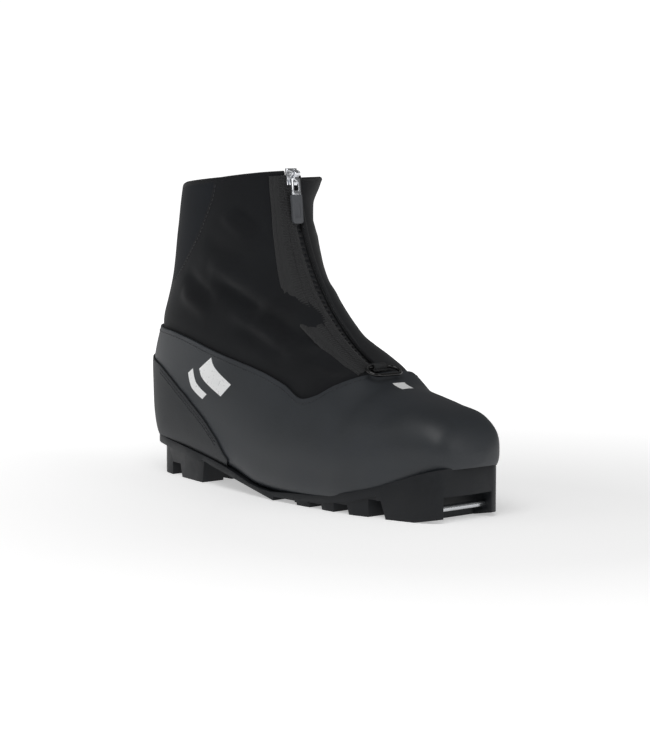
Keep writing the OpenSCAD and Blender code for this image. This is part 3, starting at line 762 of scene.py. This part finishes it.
def zipBand(name, side):
    profile = np.array(bandProfiles[side])
    widths = np.concatenate([[0], np.cumsum(np.hypot(*np.diff(profile, axis=0).T))])
    even = np.linspace(0, widths[-1], bandCut["across"])
    across, proud = np.interp(even, widths, profile[:, 0]), np.interp(even, widths, profile[:, 1])
    fine = np.linspace(bandStart, bandEnd, 300)
    spine = np.array([besideZip(p, side, np.array([1.0]), np.array([0.0]))[0] for p in fine])
    length = np.concatenate([[0], np.cumsum(np.linalg.norm(np.diff(spine, axis=0), axis=1))])
    wanted = np.arange(0, length[-1], bandCut["step"])
    rows = []
    for s in wanted:
        place = np.interp(s, length, fine)
        rib = proud.copy()
        if side < 0:
            for low, high, shift in ((3.0, 6.6, 0.0), (6.95, 10.5, 0.5)):
                on = np.clip((across - low) / 0.4, 0, 1) * np.clip((high - across) / 0.4, 0, 1)
                lean = (across - low) * 0.25
                rib += on * bandCut["ribHeight"] * np.sin((s + lean + shift * bandCut["ribPitch"])
                                                          * 2 * math.pi / bandCut["ribPitch"])
            seam = np.clip((across - 13.3) / 0.2, 0, 1) * np.clip((15.2 - across) / 0.2, 0, 1)
            step = abs((s / bandCut["zigzag"]) % 2 - 1)
            rib += seam * 0.4 * (np.exp(-((across - 13.6 - 1.3 * step) / 0.35) ** 2) - 0.5)
        narrow = np.interp(place, [7, bandEnd], [1, bandCut["narrow"]])
        rows.append(besideZip(place, side, across * narrow, rib))
    grid = np.array(rows)
    count, wide = grid.shape[:2]
    verts = [[towards(p, k) for k in range(3)] for row in grid for p in row]
    faces = []
    for i in range(count - 1):
        for j in range(wide - 1):
            face = [i * wide + j, i * wide + j + 1, (i + 1) * wide + j + 1, (i + 1) * wide + j]
            faces.append(face if side < 0 else face[::-1])
    band = newObject(name, verts, faces)
    applyModifier(band, "SOLIDIFY", thickness=0.7 * mm, offset=-1)
    smooth(band, 60)
    return band


bandOuter = zipBand("zipBandOuter", -1)
bandInner = zipBand("zipBandInner", 1)
settle(bandOuter, "boot", "zip_tape", zipTape, "zip_tape_lateral")
settle(bandInner, "boot", "zip_tape", softshell, "zip_tape_medial")
print("zip bands made")

# Collar hem: the gaiter turned over a soft edging, open at the zip
collarCut = {"turns": (9, 354), "around": 260}


def loftTube(name, rings):
    count, wide = len(rings), len(rings[0])
    verts = [[towards(p, k) for k in range(3)] for ring in rings for p in ring]
    faces = []
    for i in range(count - 1):
        for j in range(wide):
            k = (j + 1) % wide
            faces.append([i * wide + j, i * wide + k, (i + 1) * wide + k, (i + 1) * wide + j])
    faces.append([j for j in range(wide)][::-1])
    faces.append([(count - 1) * wide + j for j in range(wide)])
    obj = newObject(name, verts, faces)
    bm = bmesh.new()
    bm.from_mesh(obj.data)
    bmesh.ops.recalc_face_normals(bm, faces=bm.faces)
    bm.to_mesh(obj.data)
    bm.free()
    return obj


collarProfile = [(0.86, -2.2), (0.6, -1.7), (0.44, -1.2), (0.36, -0.98), (0.28, -1.0), (0.2, -1.6),
                 (0.15, -2.7), (0.15, -4.0), (0.2, -5.1), (0.3, -6.1), (0.45, -6.6), (0.65, -6.7),
                 (0.85, -6.3), (0.95, -5.4), (0.9, -3.4), (0.88, -2.8)]
rings = []
for turn in np.linspace(*collarCut["turns"], collarCut["around"]):
    ring = [formPoints(place + collarDrop(turn), np.array([turn]), offset)[0, 0]
            for place, offset in collarProfile]
    rings.append(ring)
collar = loftTube("collarHem", rings)
smooth(collar, 80)
settle(collar, "boot", "binding_tape", softshell, "collar_binding")
print("collar made")

# Lining: fleece over foam, quilted softly round the ankle
liningCut = {"rows": 170, "columns": 150, "proud": -3.1, "thickness": 2.6, "throat": 21.0}
throatLine = [[-200, 300], [-187, 240], [-182, 150], [-152, 106], [-112, 78], [-74, 62], [-60, 62], [20, 30]]

places, turns, grid = formSheet(0.6, 19.5, liningCut["rows"], liningCut["columns"], liningCut["proud"])
normals = surfaceNormals(grid)
quilt = 0.5 * np.cos(np.radians(turns) * 9) * np.clip((12 - places) / 6, 0, 1)[:, None]
throat = np.maximum(abs(grid[..., 1] - zipSide) - liningCut["throat"],
                    curveAt(throatLine, grid[..., 0]) - grid[..., 2])
sink = np.minimum(foldLift(grid), 0) * np.clip(aboveLine(grid, shellEdge) / 6, 0, 1)
hem = (places[:, None] - 0.62 - collarDrop(turns)) * rowStep
lining = cutPanel("lining", grid + normals * (sink - 0.3 - 0.3 * quilt)[..., None],
                  [hem, throat, aboveLine(grid, soleLine, -8.6)], cap=True)
thicken(lining, liningCut["thickness"], 0.5)
settle(lining, "boot", "lining_fleece", fleece, "lining")

# Tongue: spacer mesh over foam, crowned, its rim sewn flat
tongueCut = {"places": (1, 10.5), "turns": (-14, 26), "rows": 90, "across": 36, "outer": -3.7, "deep": 3.9}
tongueRows = []
for n, place in enumerate(np.linspace(*tongueCut["places"], tongueCut["rows"])):
    end = min(n, tongueCut["rows"] - 1 - n) / 5
    shape = min(1.0, 0.35 + 0.65 * min(end, 1))
    u = np.linspace(-1, 1, tongueCut["across"])
    spread = tongueCut["turns"][0] + (u + 1) / 2 * (tongueCut["turns"][1] - tongueCut["turns"][0])
    body = tongueCut["deep"] * shape * (1 - abs(u) ** 4 * 0.75)
    channels = 0.35 * np.exp(-((abs(u) - 0.45) / 0.05) ** 2)
    outer = formPoints(place, spread, 0.0)[0], formPoints(place, spread, 1.0)[0]
    lean = outer[1] - outer[0]
    top = outer[0] + lean * tongueCut["outer"]
    under = outer[0] + lean * (tongueCut["outer"] - body + channels)[:, None]
    tongueRows.append(np.concatenate([top, under[::-1]]))
tongue = loftTube("tongue", tongueRows)
smooth(tongue, 60)
settle(tongue, "boot", "tongue_fabric", spacerMesh, "tongue")
print("lining and tongue made")

# Footbed: felt over foam, cupped at the heel
outline = np.array([[-293.8, 3, 3], [-292.8, -7.5, 13.5], [-291, -12.5, 18.5], [-287, -18.3, 23.8],
                    [-281, -23.2, 28.7], [-274, -27, 32.5], [-262, -30.2, 35.5], [-245, -32.7, 37.4],
                    [-210, -37.4, 41.4], [-170, -41, 43.9], [-150, -43.6, 45.3], [-120, -44.5, 46.3],
                    [-90, -44, 47.8], [-72, -44.2, 48.4], [-58, -43.4, 48.6], [-45, -40.8, 47],
                    [-30, -36.8, 43], [-15, -32.6, 37.5], [-5, -29.6, 33], [1.5, -26.8, 29],
                    [5.2, -23.5, 25], [7, -19, 20], [8.2, -9, 10], [8.6, 2, 4]])
footbedCut = {"inset": 11.4, "from": 8.5, "to": 12.1, "cup": 1.6, "rows": 120, "across": 30}
footbedRows = []
middle = -138
for x in np.linspace(-293.4, 8.5, footbedCut["rows"]):
    wide = [curveAt(outline, x, 1) + footbedCut["inset"], curveAt(outline, x, 2) - footbedCut["inset"]]
    wide = [min(wide[0], 2.8), max(wide[1], 3.2)]
    px = middle + (x - middle) * (1 - footbedCut["inset"] / 155)
    u = np.linspace(-1, 1, footbedCut["across"])
    y = (wide[0] + wide[1]) / 2 + u * (wide[1] - wide[0]) / 2
    z = float(curveAt(soleLine, px))
    rim = footbedCut["cup"] * abs(u) ** 6
    top = np.stack([px + 0 * y, y, z + footbedCut["to"] - 1.2 + rim], -1)
    under = np.stack([px + 0 * y, y, z + footbedCut["from"] + 0.8 * abs(u) ** 8], -1)
    footbedRows.append(np.concatenate([top, under[::-1]]))
footbed = loftTube("footbed", footbedRows)
smooth(footbed, 50)
settle(footbed, "boot", "footbed_felt", feltCloth, "insole")
print("footbed made")

# Rounded copies of the hard CAD pieces


def roundedCopy(node, name, edge, body, slot, finish, angle=28, segments=2):
    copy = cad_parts[node].copy()
    copy.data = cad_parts[node].data.copy()
    copy.name = name
    for key in list(copy.keys()):
        del copy[key]
    bpy.context.scene.collection.objects.link(copy)
    matrix = copy.matrix_world.copy()
    copy.parent = None
    copy.data.transform(matrix)
    copy.matrix_world = Matrix.Identity(4)
    choose(copy)
    bpy.ops.object.mode_set(mode="EDIT")
    bpy.ops.mesh.select_all(action="SELECT")
    bpy.ops.mesh.remove_doubles(threshold=0.00002)
    bpy.ops.mesh.dissolve_limited(angle_limit=math.radians(1.0))
    bpy.ops.object.mode_set(mode="OBJECT")
    applyModifier(copy, "BEVEL", width=edge * mm, segments=segments, limit_method="ANGLE",
                  angle_limit=math.radians(angle), use_clamp_overlap=True, harden_normals=False)
    smooth(copy, 40)
    settle(copy, body, slot, finish, node)
    return copy


roundedCopy("outsole", "soleUnit", 0.7, "boot", "rubber_sole", soleRubber)
roundedCopy("zip_slider", "zipSlider", 0.3, "slider", "chrome_zip", chrome)
roundedCopy("puller_link", "pullerLink", 0.35, "puller", "chrome_zip", chrome)
roundedCopy("puller_tag", "pullerTag", 0.35, "puller", "tag_rubber", tagRubber)
roundedCopy("ring_tab", "ringTab", 0.3, "boot", "tab_webbing", webbing)
roundedCopy("heel_loop", "heelLoop", 0.35, "boot", "webbing", webbing)
for node, finish in (("toe_bar", barSteel), ("gaiter_ring", ringPlastic), ("midsole", evaFoam),
                     ("shank", shankNylon), ("lasting_board", fibreBoard), ("heel_counter", fibreBoard),
                     ("toe_puff", fibreBoard), ("zip_teeth_lateral", zipTape), ("zip_teeth_medial", zipTape),
                     ("zip_bottom_stop", chrome)):
    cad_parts[node].data.materials.clear()
    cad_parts[node].data.materials.append(finish)
print("hard pieces rounded")

# Printed bars on the side and a small one on the instep
printBars = {"side": [[6.7, 7.95, 72, 79], [6.5, 7.6, 82.5, 85.5]], "instep": [[11.8, 12.3, -4, 4]],
             "proud": 1.02, "thickness": 0.25}


def printPatch(name, bars, node):
    verts, faces = [], []
    for start, end, low, high in bars:
        grid = formPoints(np.linspace(start, end, 28), np.linspace(low, high, 12), printBars["proud"])
        base = len(verts)
        verts += [[towards(p, k) for k in range(3)] for row in grid for p in row]
        corners = [base + i * 12 + j for i in range(27) for j in range(11)]
        faces += [[k, k + 1, k + 13, k + 12] for k in corners]
    obj = newObject(name, verts, faces)
    applyModifier(obj, "SOLIDIFY", thickness=printBars["thickness"] * mm, offset=-1)
    smooth(obj, 60)
    settle(obj, "boot", "print_white", printInk, node)
    return obj


printPatch("sideBars", printBars["side"], "side_print")
printPatch("instepBar", printBars["instep"], "toe_print")

# Stitch lines: shell edge, heel seam twice, rear seams of the gaiter


def shifted(line, by, start, end):
    return [[x, z + by] for x, z in line if start <= x <= end]


tracks = [pathOver(shifted(shellEdge, -3.2, -300, -70), side, shellTree) for side in (-1, 1)]
settle(sewAlong("stitchShellEdge", tracks), "boot", "webbing", thread)
tracks = []
for drop in (-2.6, -5.0):
    tracks += [pathOver(shifted(heelSeam, drop, -285, -185), side, heelTree) for side in (-1, 1)]
settle(sewAlong("stitchHeelSeam", tracks), "boot", "webbing", thread)
rearLine = [[x, z] for z, x in rearSeam if 118 < z < 212]
tracks = [pathOver([[x + 2.4, z] for x, z in rearLine], -1, outerTree),
          pathOver([[x + 2.4, z] for x, z in rearLine], 1, innerTree)]
settle(sewAlong("stitchRearSeam", tracks), "boot", "webbing", thread)
print("stitches sewn")

# Floor, light and camera


floorHalf = 30
corners = [(-floorHalf, -floorHalf), (floorHalf, -floorHalf), (floorHalf, floorHalf), (-floorHalf, floorHalf)]
floor = newObject("studioFloor", [(x, y, floorZ) for x, y in corners], [(0, 1, 2, 3)])
# The floor's emission is painted light: the floor glows by itself, weakest by the boot (strength 0.4) and
# rising to 1.0 between 0.15 m and 0.9 m away, so the far floor is painted white
floorPaintAndGlow, tree, shader, place = newMaterial("floorPaintAndGlow", "#f4f4f4", 0.9, Emission_Strength=0.4,
                                              Specular_IOR_Level=0.1)
shader.inputs["Emission Color"].default_value = linear("#ffffff")
# distance from the floor's centre under the boot sets the painted glow; lift is the strength of that painted
# glow
reach = addNode(tree, "ShaderNodeVectorMath", {"operation": "LENGTH"})
tree.links.new(place, reach.inputs[0])
lift = addNode(tree, "ShaderNodeMapRange", {"From Min": 0.15, "From Max": 0.9, "To Min": 0.4, "To Max": 1.0},
               Value=reach.outputs["Value"])
tree.links.new(lift.outputs["Result"], shader.inputs["Emission Strength"])
tone = addNode(tree, "ShaderNodeTexNoise", {"Scale": 2.0}, Vector=place)
tree.links.new(rampBetween(tree, tone.outputs["Fac"], "#f2f2f2", "#f6f6f6").outputs["Color"],
               shader.inputs["Base Color"])
floor.data.materials.append(floorPaintAndGlow)


def areaLight(name, place, aim, size, power):
    data = bpy.data.lights.new(name, "AREA")
    data.shape = "RECTANGLE"
    data.size, data.size_y = size
    data.energy = power
    lamp = bpy.data.objects.new(name, data)
    bpy.context.scene.collection.objects.link(lamp)
    lamp.location = place
    lamp.rotation_euler = (Vector(aim) - Vector(place)).to_track_quat("-Z", "Y").to_euler()
    return lamp


areaLight("keySoftbox", (0.5, -0.9, 1.6), (-0.12, 0, 0.08), (1.3, 1.3), 14)
areaLight("fillSoftbox", (1.6, 0.5, 0.8), (-0.12, 0, 0.08), (1.0, 1.0), 5)
areaLight("sideSoftbox", (-0.9, -1.5, 0.9), (-0.12, 0, 0.08), (1.0, 1.0), 2.2)
world = bpy.data.worlds.new("studio")
bpy.context.scene.world = world
world.use_nodes = True
world.node_tree.nodes["Background"].inputs["Color"].default_value = linear("#ffffff")
light = addNode(world.node_tree, "ShaderNodeLightPath")
bright = addNode(world.node_tree, "ShaderNodeMapRange", {"To Min": 0.16, "To Max": 1.05},
                 Value=light.outputs["Is Camera Ray"])
world.node_tree.links.new(bright.outputs["Result"], world.node_tree.nodes["Background"].inputs["Strength"])
bpy.context.scene.view_settings.view_transform = "Standard"

cameraData = bpy.data.cameras.new("camera")
cameraData.lens = 99.5
cameraData.sensor_width = 36
camera = bpy.data.objects.new("camera", cameraData)
bpy.context.scene.collection.objects.link(camera)
camera.location = (0.902, -0.864, 0.2065)
pitch, azimuth = math.radians(5.79), math.radians(50)
gaze = Vector((-math.sin(azimuth) * math.cos(pitch), math.cos(azimuth) * math.cos(pitch), -math.sin(pitch)))
camera.rotation_euler = gaze.to_track_quat("-Z", "Y").to_euler()
bpy.context.scene.camera = camera

print("scene ready")
